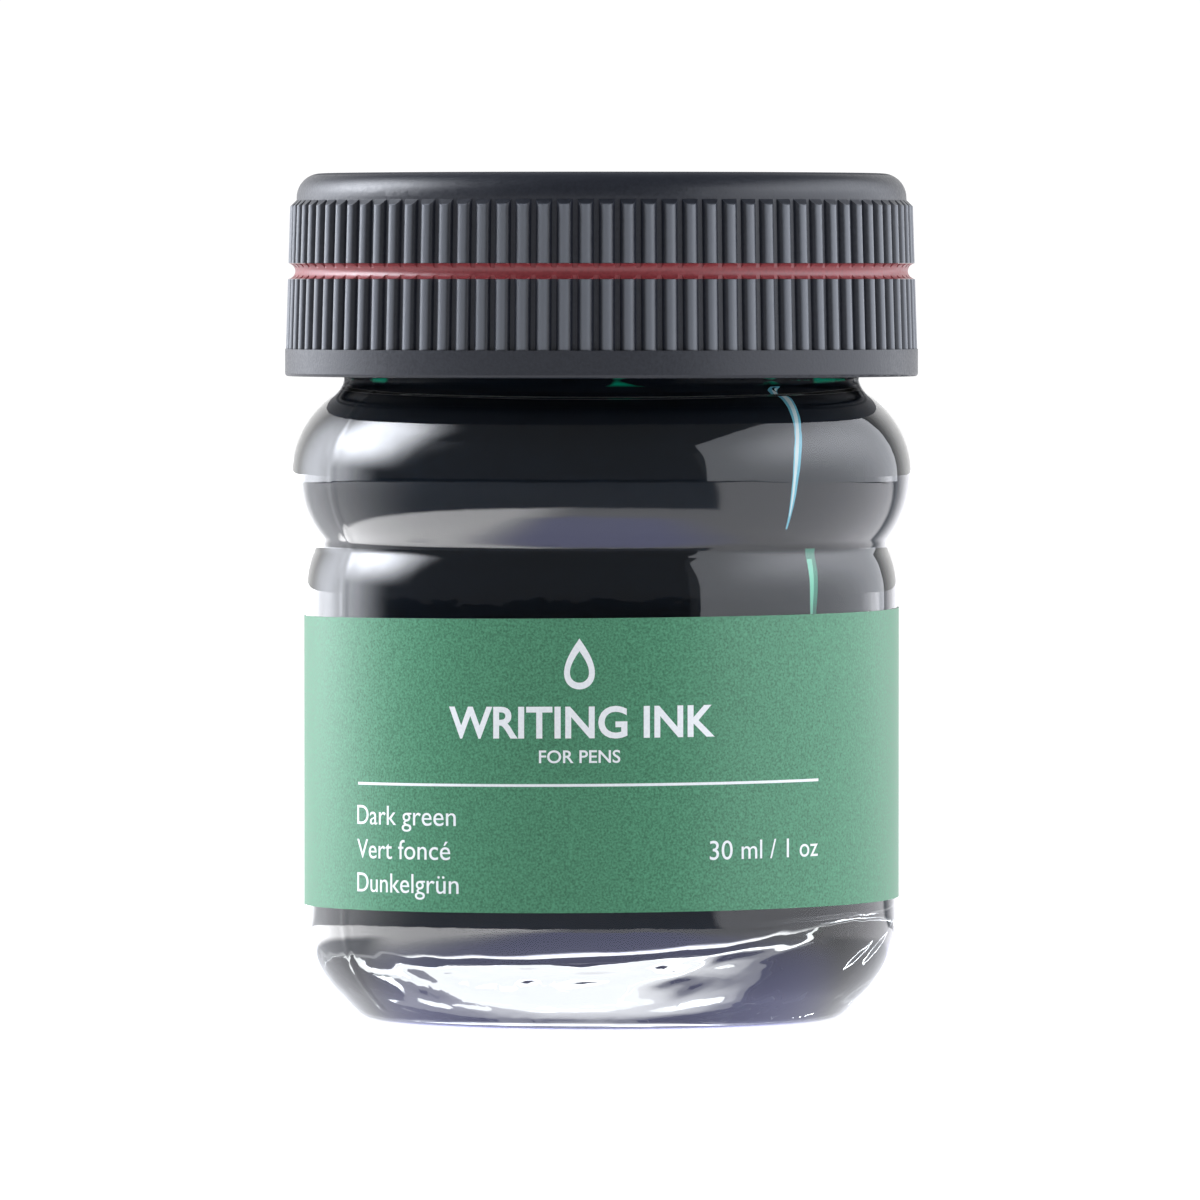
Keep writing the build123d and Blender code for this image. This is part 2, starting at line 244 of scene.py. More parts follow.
def floor_lift(x, y, z):
    """How far the moulded floor leaves its level, fading out up the wall.

    It tilts and climbs to the right, sags in the middle, and has settling waves and
    fine ripples, which are weakest in the middle.
    """
    fade_height = 9 * MM
    wavy_from = 11 * MM
    out = hypot(x, y)
    fade = max(0.0, 1.0 - max(0.0, z - FLOOR_Z) / fade_height)
    near_wall = min(1.0, out / wavy_from)
    wave = noise.noise(Vector((x * 260, y * 260, 3.1))) * FLOOR_WAVE
    ripple = noise.noise(Vector((x * 380, y * 1300, 5.2))) * FLOOR_RIPPLE
    rise = tan(FLOOR_TILT) * x + max(0.0, x / BODY_R) ** 2 * FLOOR_CLIMB
    bowl = FLOOR_SAG * max(0.0, 1.0 - (out / (BODY_R - WALL)) ** 2)
    return fade * (rise - bowl + (wave + ripple) * near_wall)


def inner_lean(angle, z):
    """Slow unevenness of the blown inside wall."""
    most = 0.09 * MM
    return noise.noise(Vector((sin(angle) * 2.1, cos(angle) * 2.1, z * 120))) * most


def thread_swell(angle, z):
    """Height of the screw ridge at a place on the neck."""
    turn = (angle - pi / 2) / (2 * pi)
    best = 0.0
    for whole in (-1, 0, 1, 2):
        along = turn + whole
        if along < 0 or along > THREAD_TURNS:
            continue
        off = abs(z - (THREAD_START + THREAD_PITCH * along))
        flank = min(1.0, max(0.0, (THREAD_HALF - off) / THREAD_FLANK))
        fade = min(1.0, min(along, THREAD_TURNS - along) / THREAD_FADE_TURNS)
        best = max(best, THREAD_HEIGHT * flank * flank * (3 - 2 * flank) * fade**0.7)
    return best


SEAMS = (radians(-60), radians(120))
SEAM_HALF = radians(0.6)
SEAM_HEIGHT = 0.05 * MM


def seam_ridge(angle, z):
    """Parting line of the two mould halves, up the wall and shoulder."""
    if z < 0.8 * MM or z > BEAD_TOP:
        return 0.0
    for seam in SEAMS:
        off = abs((angle - seam + pi) % (2 * pi) - pi)
        if off < SEAM_HALF:
            return SEAM_HEIGHT
    return 0.0


def glass_ripple(angle, z):
    """Slow dents of hot moulded glass on the outer wall."""
    slow = noise.noise(Vector((sin(angle) * 2.2, cos(angle) * 2.2, z * 110)))
    middle = noise.noise(Vector((sin(angle) * 5.0, cos(angle) * 5.0, z * 260 + 9)))
    fine = noise.noise(Vector((sin(angle) * 12.0, cos(angle) * 12.0, z * 560 + 4)))
    return (slow * 0.026 + middle * 0.010 + fine * 0.0016) * MM


def shape_outside(piece):
    """Give the turned outside its screw ridge, parting lines and ripples."""
    for vertex in piece.data.vertices:
        x, y, z = vertex.co
        radius, angle = hypot(x, y), around(x, y)
        if z > BEAD_TOP + 0.1 * MM and radius > NECK_R - 0.3 * MM:
            radius += thread_swell(angle, z)
        elif 0.4 * MM < z < BEAD_TOP:
            radius += seam_ridge(angle, z) + glass_ripple(angle, z)
        vertex.co = (radius * sin(angle), -radius * cos(angle), z)


def shape_inside(piece):
    """Tilt and wave the moulded floor and let the wall lean a little."""
    for vertex in piece.data.vertices:
        x, y, z = vertex.co
        radius, angle = hypot(x, y), around(x, y)
        if z < BEAD_LOW - 2 * MM:
            radius += inner_lean(angle, z) * min(1.0, radius / (BODY_R - WALL))
        z += floor_lift(x, y, z)
        vertex.co = (radius * sin(angle), -radius * cos(angle), z)


def make_jar():
    """Outside and inside are turned one by one, then joined along the rim."""
    inside = lathe("jar_inside", jar_inner_outline(0.0, RIM_Z - RIM_ROUND), JAR_STEPS)
    shape_inside(inside)
    outside = lathe("bottle_glass", jar_outer_outline(), JAR_STEPS)
    shape_outside(outside)
    use(outside)
    inside.select_set(True)
    bpy.ops.object.join()
    bpy.ops.object.mode_set(mode="EDIT")
    bpy.ops.mesh.select_all(action="SELECT")
    bpy.ops.mesh.remove_doubles(threshold=MERGE)
    bpy.ops.mesh.normals_make_consistent(inside=False)
    bpy.ops.object.mode_set(mode="OBJECT")
    smooth(outside, 60.0)
    return outside


# ---- Ink --------------------------------------------------------------------
def make_ink():
    """Fills the jar and laps a hair into the glass, so no air shows between."""
    lap = 0.03 * MM
    climb = 0.35 * MM
    reach = 1.2 * MM
    steps = 6
    top = INK_TOP + climb
    edge = BORE_R + lap
    meniscus = [(0.0, INK_TOP)] + line((0.0, INK_TOP), (edge - reach, INK_TOP), 8)
    for i in range(1, steps + 1):
        share = i / steps
        meniscus.append((edge - reach * (1 - share), INK_TOP + climb * share**3))
    body = jar_inner_outline(-lap, top)
    ink = lathe("ink_fill", meniscus + body[1:], INK_STEPS)
    shape_inside(ink)
    smooth(ink, 60.0)
    return ink


# ---- Label and its print ----------------------------------------------------
LABEL_LOW, LABEL_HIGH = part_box("label")[0][2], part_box("label")[1][2]
LABEL_HALF = radians(175)
LABEL_TILT = tan(radians(0.5))


def wrap(piece, radius):
    """Bend a flat piece, drawn in X and Z with its face at nought, round the jar."""
    for vertex in piece.data.vertices:
        along, depth, height = vertex.co
        angle = along / LABEL_R
        reach = radius - depth
        vertex.co = (reach * sin(angle), -reach * cos(angle), height + along * LABEL_TILT)


def make_label():
    """One strip of coated paper, its ends just apart at the back of the jar."""
    deselect()
    bpy.ops.mesh.primitive_grid_add(
        x_subdivisions=300, y_subdivisions=14, size=1, rotation=(pi / 2, 0, 0)
    )
    label = named("wrap_label")
    width, height = 2 * LABEL_HALF * LABEL_R, LABEL_HIGH - LABEL_LOW
    label.scale = (width, height, 1)
    label.location = (0, 0, (LABEL_LOW + LABEL_HIGH) / 2)
    settle(label)
    bpy.ops.object.mode_set(mode="EDIT")
    bpy.ops.mesh.select_all(action="SELECT")
    bpy.ops.mesh.extrude_region_move(TRANSFORM_OT_translate={"value": (0, -LABEL_PAPER, 0)})
    bpy.ops.mesh.select_all(action="SELECT")
    bpy.ops.mesh.normals_make_consistent(inside=False)
    bpy.ops.object.mode_set(mode="OBJECT")
    wrap(label, LABEL_R)
    smooth(label, 30.0)
    return label


def bare_edges(label, paper):
    """The cut edges of the label show the white of the paper."""
    label.data.materials.append(paper)
    for face in label.data.polygons:
        if abs(face.normal.z) > 0.7:
            face.material_index = 1


PRINT_R = LABEL_R + LABEL_PAPER
PRINT_THICK = 0.012 * MM
STRIP = 0.55 * MM
CAPITAL = 0.729


def cut_upright(piece, spacing):
    """Slice flat lettering into narrow strips, so that it can follow the curve."""
    use(piece)
    xs = [vertex.co.x for vertex in piece.data.vertices]
    bpy.ops.object.mode_set(mode="EDIT")
    place = min(xs) + spacing
    while place < max(xs):
        bpy.ops.mesh.select_all(action="SELECT")
        bpy.ops.mesh.bisect(plane_co=(place, 0, 0), plane_no=(1, 0, 0))
        place += spacing
    bpy.ops.object.mode_set(mode="OBJECT")


def press_on(piece, name):
    """Slice, wrap and name a flat print mark."""
    cut_upright(piece, STRIP)
    wrap(piece, PRINT_R)
    piece.name = name
    piece.data.name = name
    smooth(piece, 20.0)
    return piece


def lettering(name, words, left, foot, height, width=None, weight=0.0, centre=False):
    """Plain generic words, with capitals of a given height, set on the label.

    Left is the words' left end, or their middle where centre is true.
    """
    deselect()
    bpy.ops.object.text_add(rotation=(pi / 2, 0, 0))
    text = bpy.context.object
    text.data.body = words
    text.data.extrude = PRINT_THICK / 2 / height
    text.data.offset = weight
    text.data.resolution_u = 5
    bpy.ops.object.convert(target="MESH")
    piece = bpy.context.object
    settle(piece)
    xs = [vertex.co.x for vertex in piece.data.vertices]
    tall = height / CAPITAL
    wide = tall if width is None else width / (max(xs) - min(xs))
    piece.scale = (wide, height, tall)
    anchor = (max(xs) + min(xs)) / 2 if centre else min(xs)
    piece.location = (left - anchor * wide, -PRINT_THICK / 2, foot)
    settle(piece)
    return press_on(piece, name)


def make_rule(left, right, height, thick):
    """Thin printed line across the label."""
    deselect()
    bpy.ops.mesh.primitive_cube_add(size=1)
    rule = bpy.context.object
    rule.scale = (right - left, PRINT_THICK, thick)
    rule.location = ((left + right) / 2, -PRINT_THICK / 2, height)
    settle(rule)
    return press_on(rule, "print_rule")


def make_drop(middle, height, tall):
    """Emblem: an open ink drop, drawn as a teardrop band."""
    count = 48
    half_width, half_height = 0.44, 0.55
    opening, opening_centre = 0.62, -0.17
    deselect()
    bpy.ops.mesh.primitive_circle_add(vertices=count, radius=1, rotation=(pi / 2, 0, 0))
    drop = bpy.context.object
    settle(drop)
    for index, vertex in enumerate(drop.data.vertices):
        turn = 2 * pi * index / count
        pinch = sin(turn / 2) ** 1.1
        vertex.co = (half_width * sin(turn) * pinch, 0, half_height * cos(turn))
    bpy.ops.object.mode_set(mode="EDIT")
    bpy.ops.mesh.select_all(action="SELECT")
    bpy.ops.mesh.extrude_edges_move()
    bpy.ops.transform.resize(
        value=(opening, 1, opening), center_override=(0, 0, opening_centre)
    )
    bpy.ops.mesh.select_all(action="SELECT")
    bpy.ops.mesh.extrude_region_move(TRANSFORM_OT_translate={"value": (0, -PRINT_THICK, 0)})
    bpy.ops.mesh.select_all(action="SELECT")
    bpy.ops.mesh.normals_make_consistent(inside=False)
    bpy.ops.object.mode_set(mode="OBJECT")
    drop.scale = (tall, 1, tall)
    drop.location = (middle, 0, height)
    settle(drop)
    return press_on(drop, "print_drop")


def make_print():
    """Drop emblem, two headings, a rule, three lines and the volume."""
    middle, left = -1.38 * MM, -17.9 * MM
    marks = [
        make_drop(middle, height=23.15 * MM, tall=2.9 * MM),
        lettering(
            "print_heading", "WRITING INK", middle, foot=18.55 * MM,
            height=2.0 * MM, width=17.2 * MM, weight=0.022, centre=True,
        ),
        lettering(
            "print_subheading", "FOR PENS", middle, foot=16.96 * MM,
            height=0.82 * MM, width=5.1 * MM, weight=0.012, centre=True,
        ),
        make_rule(left=-17.8 * MM, right=15.15 * MM, height=15.55 * MM, thick=0.17 * MM),
    ]
    for name, words, foot, width in (
        ("print_line_1", "Dark green", 12.98 * MM, 8.4 * MM),
        ("print_line_2", "Vert foncé", 10.84 * MM, 8.0 * MM),
        ("print_line_3", "Dunkelgrün", 8.72 * MM, 8.6 * MM),
    ):
        marks.append(lettering(name, words, left, foot, height=1.28 * MM, width=width))
    marks.append(
        lettering(
            "print_volume", "30 ml / 1 oz", 6.9 * MM, foot=10.76 * MM,
            height=1.26 * MM, width=8.2 * MM,
        )
    )
    return marks


# ---- Shader helpers ---------------------------------------------------------
def finish_of(name, **sockets):
    """A material with the Principled shader's sockets set by their names."""
    material = bpy.data.materials.new(name)
    material.use_nodes = True
    shader = material.node_tree.nodes["Principled BSDF"]
    for socket, value in sockets.items():
        shader.inputs[socket.replace("_", " ")].default_value = value
    return material, material.node_tree, shader


def add(tree, kind, **settings):
    """A node with its attributes and, where a socket has that name, its values."""
    node = tree.nodes.new(kind)
    for key, value in settings.items():
        if hasattr(node, key):
            setattr(node, key, value)
        else:
            node.inputs[key.replace("_", " ")].default_value = value
    return node


def new_group(name, inputs, outputs):
    group = bpy.data.node_groups.new(name, "ShaderNodeTree")
    for label, default in inputs:
        socket = group.interface.new_socket(label, in_out="INPUT", socket_type="NodeSocketFloat")
        socket.default_value = default
    for label, kind in outputs:
        group.interface.new_socket(label, in_out="OUTPUT", socket_type=kind)
    return group, group.nodes.new("NodeGroupInput"), group.nodes.new("NodeGroupOutput")


def mixed(tree, mask, low, high):
    """Colour that goes from low to high with a mask; either may be a socket."""
    mix = add(tree, "ShaderNodeMix", data_type="RGBA")
    tree.links.new(mask, mix.inputs["Factor"])
    for socket, value in (("A", low), ("B", high)):
        slot = [item for item in mix.inputs if item.name == socket and item.type == "RGBA"][0]
        if isinstance(value, tuple):
            slot.default_value = (*value, 1)
        else:
            tree.links.new(value, slot)
    return [item for item in mix.outputs if item.type == "RGBA"][0]


def ramp_between(tree, value, low, high, reverse=False):
    """Smooth step of a value between two bounds."""
    step = add(tree, "ShaderNodeMapRange", interpolation_type="SMOOTHSTEP")
    step.inputs["From Min"].default_value = low
    step.inputs["From Max"].default_value = high
    step.inputs["To Min"].default_value = 1.0 if reverse else 0.0
    step.inputs["To Max"].default_value = 0.0 if reverse else 1.0
    tree.links.new(value, step.inputs["Value"])
    return step.outputs["Result"]


def maths(tree, operation, first, second):
    """One Math node; either value may be a number or a socket."""
    node = add(tree, "ShaderNodeMath", operation=operation)
    for socket, value in zip(node.inputs, (first, second)):
        if isinstance(value, (int, float)):
            socket.default_value = value
        else:
            tree.links.new(value, socket)
    return node.outputs[0]


def product(tree, *values):
    """All the values multiplied together."""
    result = values[0]
    for value in values[1:]:
        result = maths(tree, "MULTIPLY", result, value)
    return result


def place_of(tree):
    """The point's place on its piece, whole and as its X, Y and Z."""
    place = add(tree, "ShaderNodeTexCoord").outputs["Object"]
    split = add(tree, "ShaderNodeSeparateXYZ")
    tree.links.new(place, split.inputs[0])
    return place, split.outputs["X"], split.outputs["Y"], split.outputs["Z"]


def grain_group():
    """Fine grain of a spark-eroded mould, and slow unevenness under it."""
    group, source, result = new_group(
        "Moulded grain",
        [("Scale", 4000.0), ("Unevenness", 0.3)],
        [("Height", "NodeSocketFloat"), ("Fleck", "NodeSocketFloat")],
    )
    place = add(group, "ShaderNodeTexCoord")
    fine = add(group, "ShaderNodeTexNoise", Detail=3.0, Roughness=0.6)
    slow = add(group, "ShaderNodeTexNoise", Scale=240.0, Detail=2.0)
    uneven = add(group, "ShaderNodeMath", operation="MULTIPLY_ADD")
    links = group.links
    links.new(place.outputs["Object"], fine.inputs["Vector"])
    links.new(place.outputs["Object"], slow.inputs["Vector"])
    links.new(source.outputs["Scale"], fine.inputs["Scale"])
    links.new(slow.outputs["Fac"], uneven.inputs[0])
    links.new(source.outputs["Unevenness"], uneven.inputs[1])
    links.new(fine.outputs["Fac"], uneven.inputs[2])
    links.new(uneven.outputs[0], result.inputs["Height"])
    links.new(fine.outputs["Fac"], result.inputs["Fleck"])
    return group


GRAIN = grain_group()

# The stretch of the grain's fleck that colour and roughness follow.
FLECK_LOW, FLECK_HIGH = 0.3, 0.7


def grained(tree, shader, scale, depth, rough, unevenness):
    """Give a shader the moulded grain as bump and as roughness."""
    grain = add(tree, "ShaderNodeGroup", node_tree=GRAIN, Scale=scale, Unevenness=unevenness)
    bump = add(tree, "ShaderNodeBump", Strength=1.0, Distance=depth)
    spread = add(
        tree, "ShaderNodeMapRange",
        From_Min=FLECK_LOW, From_Max=FLECK_HIGH, To_Min=rough[0], To_Max=rough[1],
    )
    tree.links.new(grain.outputs["Height"], bump.inputs["Height"])
    tree.links.new(bump.outputs["Normal"], shader.inputs["Normal"])
    tree.links.new(grain.outputs["Fleck"], spread.inputs["Value"])
    tree.links.new(spread.outputs["Result"], shader.inputs["Roughness"])
    return grain.outputs["Fleck"], spread.outputs["Result"]


def tinted(tree, shader, mask, low, high):
    """Blend the base colour between two colours by a mask."""
    ramp = add(tree, "ShaderNodeValToRGB")
    for element, place, colour in zip(
        ramp.color_ramp.elements, (FLECK_LOW, FLECK_HIGH), (low, high)
    ):
        element.position = place
        element.color = (*colour, 1)
    tree.links.new(mask, ramp.inputs["Fac"])
    tree.links.new(ramp.outputs["Color"], shader.inputs["Base Color"])
    return ramp.outputs["Color"]


def grained_finish(name, scale, depth, rough, low, high, specular=0.5, unevenness=0.3):
    """A material whose grain also flecks it between two near colours."""
    material, tree, shader = finish_of(name, Specular_IOR_Level=specular)
    fleck, _ = grained(tree, shader, scale, depth, rough, unevenness)
    tinted(tree, shader, fleck, low, high)
    return material


# ---- Finishes ---------------------------------------------------------------
def rib_crown_highlight(tree):
    """Mask of the ribs' crowns, painted paler than the valleys as a painted highlight."""
    place, _, _, height = place_of(tree)
    flat = add(tree, "ShaderNodeVectorMath", operation="MULTIPLY")
    flat.inputs[1].default_value = (1, 1, 0)
    reach = add(tree, "ShaderNodeVectorMath", operation="LENGTH")
    tree.links.new(place, flat.inputs[0])
    tree.links.new(flat.outputs["Vector"], reach.inputs[0])
    above = maths(tree, "SUBTRACT", height, RIBS_LOW)
    draft = maths(tree, "MULTIPLY", above, RIB_DRAFT)
    radius = maths(tree, "ADD", reach.outputs["Value"], draft)
    crown = ramp_between(tree, radius, CROWN_R - 0.13 * MM, CROWN_R - 0.02 * MM)
    over_band = ramp_between(tree, height, RIBS_LOW - 0.02 * MM, RIBS_LOW + 0.1 * MM)
    return product(tree, crown, over_band)


def black_plastic():
    """The cap's satin black, paler on the rib crowns as a painted highlight, and rougher on the
    flat top.
    """
    material, tree, shader = finish_of("Black moulded plastic", Specular_IOR_Level=0.45)
    fleck, fine = grained(tree, shader, 5200.0, 0.010 * MM, (0.30, 0.46), 0.3)
    valleys = tinted(tree, shader, fleck, (0.0080, 0.0100, 0.0165), (0.0150, 0.0180, 0.0270))
    # Paler rib crowns: painted highlight.
    colour = mixed(tree, rib_crown_highlight(tree), valleys, (0.110, 0.120, 0.142))
    tree.links.new(colour, shader.inputs["Base Color"])
    height = place_of(tree)[3]
    flat_top = ramp_between(tree, height, CAP_TOP - 0.25 * MM, CAP_TOP - 0.02 * MM)
    rougher = maths(tree, "MAXIMUM", fine, product(tree, flat_top, 0.8))
    tree.links.new(rougher, shader.inputs["Roughness"])
    return material


def red_plastic():
    return grained_finish(
        "Red plastic", scale=4200.0, depth=0.006 * MM, rough=(0.28, 0.42),
        low=(0.175, 0.026, 0.032), high=(0.24, 0.036, 0.043),
    )


def insert_plastic():
    return grained_finish(
        "Insert plastic", scale=2600.0, depth=0.006 * MM, rough=(0.4, 0.55),
        low=(0.014, 0.014, 0.016), high=(0.022, 0.022, 0.025),
    )


def wad_foam():
    return grained_finish(
        "Wad foam", scale=1700.0, depth=0.05 * MM, rough=(0.75, 0.95),
        low=(0.66, 0.66, 0.63), high=(0.8, 0.8, 0.77), specular=0.25,
    )


def facing_film():
    return grained_finish(
        "Facing film", scale=900.0, depth=0.004 * MM, rough=(0.16, 0.28),
        low=(0.78, 0.8, 0.79), high=(0.86, 0.87, 0.86),
    )


def clear_glass():
    """Colourless glass with the slow wobble of a moulded surface."""
    material, tree, shader = finish_of(
        "Clear glass",
        Base_Color=(0.985, 0.995, 0.99, 1),
        Roughness=0.0,
        IOR=1.52,
        Transmission_Weight=1.0,
    )
    place = place_of(tree)[0]
    wobble = add(tree, "ShaderNodeTexNoise", Scale=420.0, Detail=2.5, Roughness=0.55)
    bump = add(tree, "ShaderNodeBump", Strength=1.0, Distance=0.012 * MM)
    tree.links.new(place, wobble.inputs["Vector"])
    tree.links.new(wobble.outputs["Fac"], bump.inputs["Height"])
    tree.links.new(bump.outputs["Normal"], shader.inputs["Normal"])
    return material


def painted_streak_group():
    """Mask of a thin streak of painted light on the ink: pale streaks are painted highlights, a
    dark one painted shade.

    The streak bends from its angle at the top to that at its foot and thins out downwards.
    """
    group, source, result = new_group(
        "Painted light streak",
        [
            ("Top", 0.04),
            ("Foot", 0.03),
            ("Angle at top", 0.6),
            ("Angle at foot", 0.6),
            ("Width", 0.01),
        ],
        [("Mask", "NodeSocketFloat")],
    )
    place, x, y, height = place_of(group)
    forward = maths(group, "MULTIPLY", y, -1.0)
    angle = maths(group, "ARCTAN2", x, forward)
    wander = add(group, "ShaderNodeTexNoise", Scale=380.0, Detail=2.0)
    group.links.new(place, wander.inputs["Vector"])
    down = add(group, "ShaderNodeMapRange")
    group.links.new(height, down.inputs["Value"])
    group.links.new(source.outputs["Top"], down.inputs["From Min"])
    group.links.new(source.outputs["Foot"], down.inputs["From Max"])
    down = down.outputs["Result"]
    bend = maths(group, "POWER", maths(group, "SUBTRACT", 1.0, down), 3.0)
    course = add(group, "ShaderNodeMapRange")
    group.links.new(bend, course.inputs["Value"])
    group.links.new(source.outputs["Angle at foot"], course.inputs["To Min"])
    group.links.new(source.outputs["Angle at top"], course.inputs["To Max"])
    off = maths(group, "SUBTRACT", angle, course.outputs["Result"])
    off = maths(group, "ABSOLUTE", off, 0.0)
    thinning = maths(group, "SUBTRACT", 1.15, down)
    uneven = maths(group, "ADD", wander.outputs["Fac"], 0.3)
    width = product(group, source.outputs["Width"], thinning, uneven)
    inside = maths(group, "LESS_THAN", off, width)
    below_top = maths(group, "LESS_THAN", height, source.outputs["Top"])
    above_foot = maths(group, "GREATER_THAN", height, source.outputs["Foot"])
    mask = product(group, inside, below_top, above_foot)
    group.links.new(mask, result.inputs["Mask"])
    return group


PAINTED_STREAK = painted_streak_group()


def painted_streak(tree, top, foot, angle_top, angle_foot, width):
    """Mask of one painted light streak; its heights are in metres and its angles in degrees."""
    node = add(tree, "ShaderNodeGroup", node_tree=PAINTED_STREAK)
    values = (top, foot, radians(angle_top), radians(angle_foot), radians(width))
    for socket, value in zip(node.inputs, values):
        socket.default_value = value
    return node.outputs["Mask"]


# Painted light streaks on the ink, pale ones painted highlights and the dark one painted shade:
# each streak's top and foot, its angles there, its width and its colour.
PAINTED_STREAKS = (
    (39.5 * MM, 31.9 * MM, 52.0, 40.6, 1.8, (0.20, 0.62, 0.78)),
    (39.2 * MM, 32.6 * MM, 51.5, 40.6, 0.8, (0.80, 0.97, 1.0)),
    (39.4 * MM, 38.6 * MM, 51.6, 50.0, 0.6, (0.004, 0.02, 0.03)),
    (30.3 * MM, 24.0 * MM, 49.6, 49.0, 1.9, (0.06, 0.36, 0.24)),
    (29.2 * MM, 24.4 * MM, 48.9, 48.3, 0.9, (0.30, 0.92, 0.66)),
)


def green_ink():
    """Ink as seen from inside the glass: past about 60 degrees off square it mirrors. Emerald
    patches along its top edge are painted glints, and its streaks are painted highlights and
    painted shade.
    """
    material, tree, shader = finish_of("Green ink", Roughness=0.0, Specular_IOR_Level=0.05)
    place, _, _, height = place_of(tree)
    patchy = add(tree, "ShaderNodeTexNoise", Scale=260.0, Detail=3.0)
    tree.links.new(place, patchy.inputs["Vector"])
    # Emerald patches just under the ink's top: painted glints of light through the thin ink
    # there.
    near_top = ramp_between(tree, height, INK_TOP - 0.6 * MM, INK_TOP - 0.1 * MM)
    patches = ramp_between(tree, patchy.outputs["Fac"], 0.52, 0.58)
    painted_glint = product(tree, near_top, patches)
    colour = mixed(tree, painted_glint, (0.0060, 0.0095, 0.0155), (0.0, 0.42, 0.24))
    # Painted light streaks: pale ones are painted highlights, the dark one painted shade.
    for *course, streak_colour in PAINTED_STREAKS:
        colour = mixed(tree, painted_streak(tree, *course), colour, streak_colour)
    facing = add(tree, "ShaderNodeLayerWeight", Blend=0.5)
    mirror = ramp_between(tree, facing.outputs["Facing"], 0.50, 0.55)
    colour = mixed(tree, mirror, colour, (0.93, 0.95, 0.95))
    tree.links.new(colour, shader.inputs["Base Color"])
    tree.links.new(mirror, shader.inputs["Metallic"])
    return material


def coated_paper():
    return grained_finish(
        "Coated label paper", scale=6800.0, depth=0.005 * MM, rough=(0.30, 0.46),
        low=(0.011, 0.110, 0.052), high=(0.063, 0.278, 0.152), specular=0.6, unevenness=0.6,
    )


def paper_edge():
    return grained_finish(
        "Cut paper edge", scale=6500.0, depth=0.004 * MM, rough=(0.6, 0.8),
        low=(0.5, 0.56, 0.5), high=(0.72, 0.76, 0.7), specular=0.2,
    )


def print_white():
    return grained_finish(
        "White print", scale=6000.0, depth=0.002 * MM, rough=(0.4, 0.55),
        low=(0.72, 0.75, 0.8), high=(0.82, 0.85, 0.88), specular=0.4,
    )


# ---- Making the pieces ------------------------------------------------------
jar = make_jar()
dress(jar, clear_glass())
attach(jar, "jar")
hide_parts("glass_jar")

ink = make_ink()
dress(ink, green_ink())
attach(ink, "jar")
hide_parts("ink")

label = make_label()
dress(label, coated_paper())
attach(label, "jar")
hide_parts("label")
bare_edges(label, paper_edge())

white = print_white()
for mark in make_print():
    dress(mark, white)
    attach(mark, "jar")

dress(nodes["cap_shell"], black_plastic())
dress(nodes["red_ring"], red_plastic())
dress(nodes["cap_insert"], insert_plastic())
dress(nodes["wad_backing"], wad_foam())
dress(nodes["wad_facing"], facing_film())


# ---- Floor, light and camera ------------------------------------------------
TABLE_SIZE = 8
TABLE_TOP = -0.05 * MM
BACKDROP_FROM, BACKDROP_FULL = 0.74, 0.95

# Tones that the table shows, by what looks at it and where.
SEEN_STRAIGHT = (0.98, 0.98, 0.98)
SEEN_SATIN = (1.15, 1.15, 1.19)
PALE = (1.9, 1.9, 2.0)
PALE_LEFT = (6.2, 6.2, 6.3)
BLUISH_MIRRORED = (1.65, 1.7, 2.75)
BLUISH_THROUGH = (1.3, 1.3, 1.75)
HEEL_MIRRORED = (1.25, 1.27, 1.36)
HEEL_THROUGH = (1.5, 1.5, 1.5)
DIM = (0.16, 0.18, 0.22)
LEFT_STRIP = (1.7, 1.72, 1.8)
BLACK = (0.0, 0.0, 0.0)


def table_masks(tree):
    """Where the table is pale, bluish, and so on, by name.

    Sideways and backwards are how far a place lies to the right of the bottle and
    behind it, as a share of its distance.
    """
    place, x, y, _ = place_of(tree)
    length = add(tree, "ShaderNodeVectorMath", operation="LENGTH")
    tree.links.new(place, length.inputs[0])
    far = length.outputs["Value"]
    sideways = maths(tree, "DIVIDE", x, far)
    backwards = maths(tree, "DIVIDE", y, far)
    near = ramp_between(tree, far, 70 * MM, 78 * MM, reverse=True)
    right = ramp_between(tree, sideways, 0.64, 0.70)
    behind = ramp_between(tree, backwards, BACKDROP_FROM, BACKDROP_FULL)
    return {
        "pale": maths(tree, "MAXIMUM", near, maths(tree, "MAXIMUM", right, behind)),
        "left": product(
            tree,
            ramp_between(tree, sideways, -0.8, -0.3, reverse=True),
            ramp_between(tree, backwards, -0.45, 0.40),
        ),
        "past_lights": product(
            tree,
            ramp_between(tree, far, 500 * MM, 540 * MM),
            ramp_between(tree, backwards, 0.5, BACKDROP_FROM, reverse=True),
        ),
        # Bluish in front and dimmer under the heel: painted shadow of the bottle.
        "bluish": product(
            tree,
            ramp_between(tree, far, 52 * MM, 60 * MM, reverse=True),
            ramp_between(tree, x, -34 * MM, -12 * MM),
            ramp_between(tree, x, 12 * MM, 36 * MM, reverse=True),
        ),
        "heel": product(
            tree,
            ramp_between(tree, far, 34 * MM, 44 * MM, reverse=True),
            ramp_between(tree, y, -14 * MM, -4 * MM),
        ),
        "beside": ramp_between(tree, x, -38 * MM, -8 * MM, reverse=True),
    }


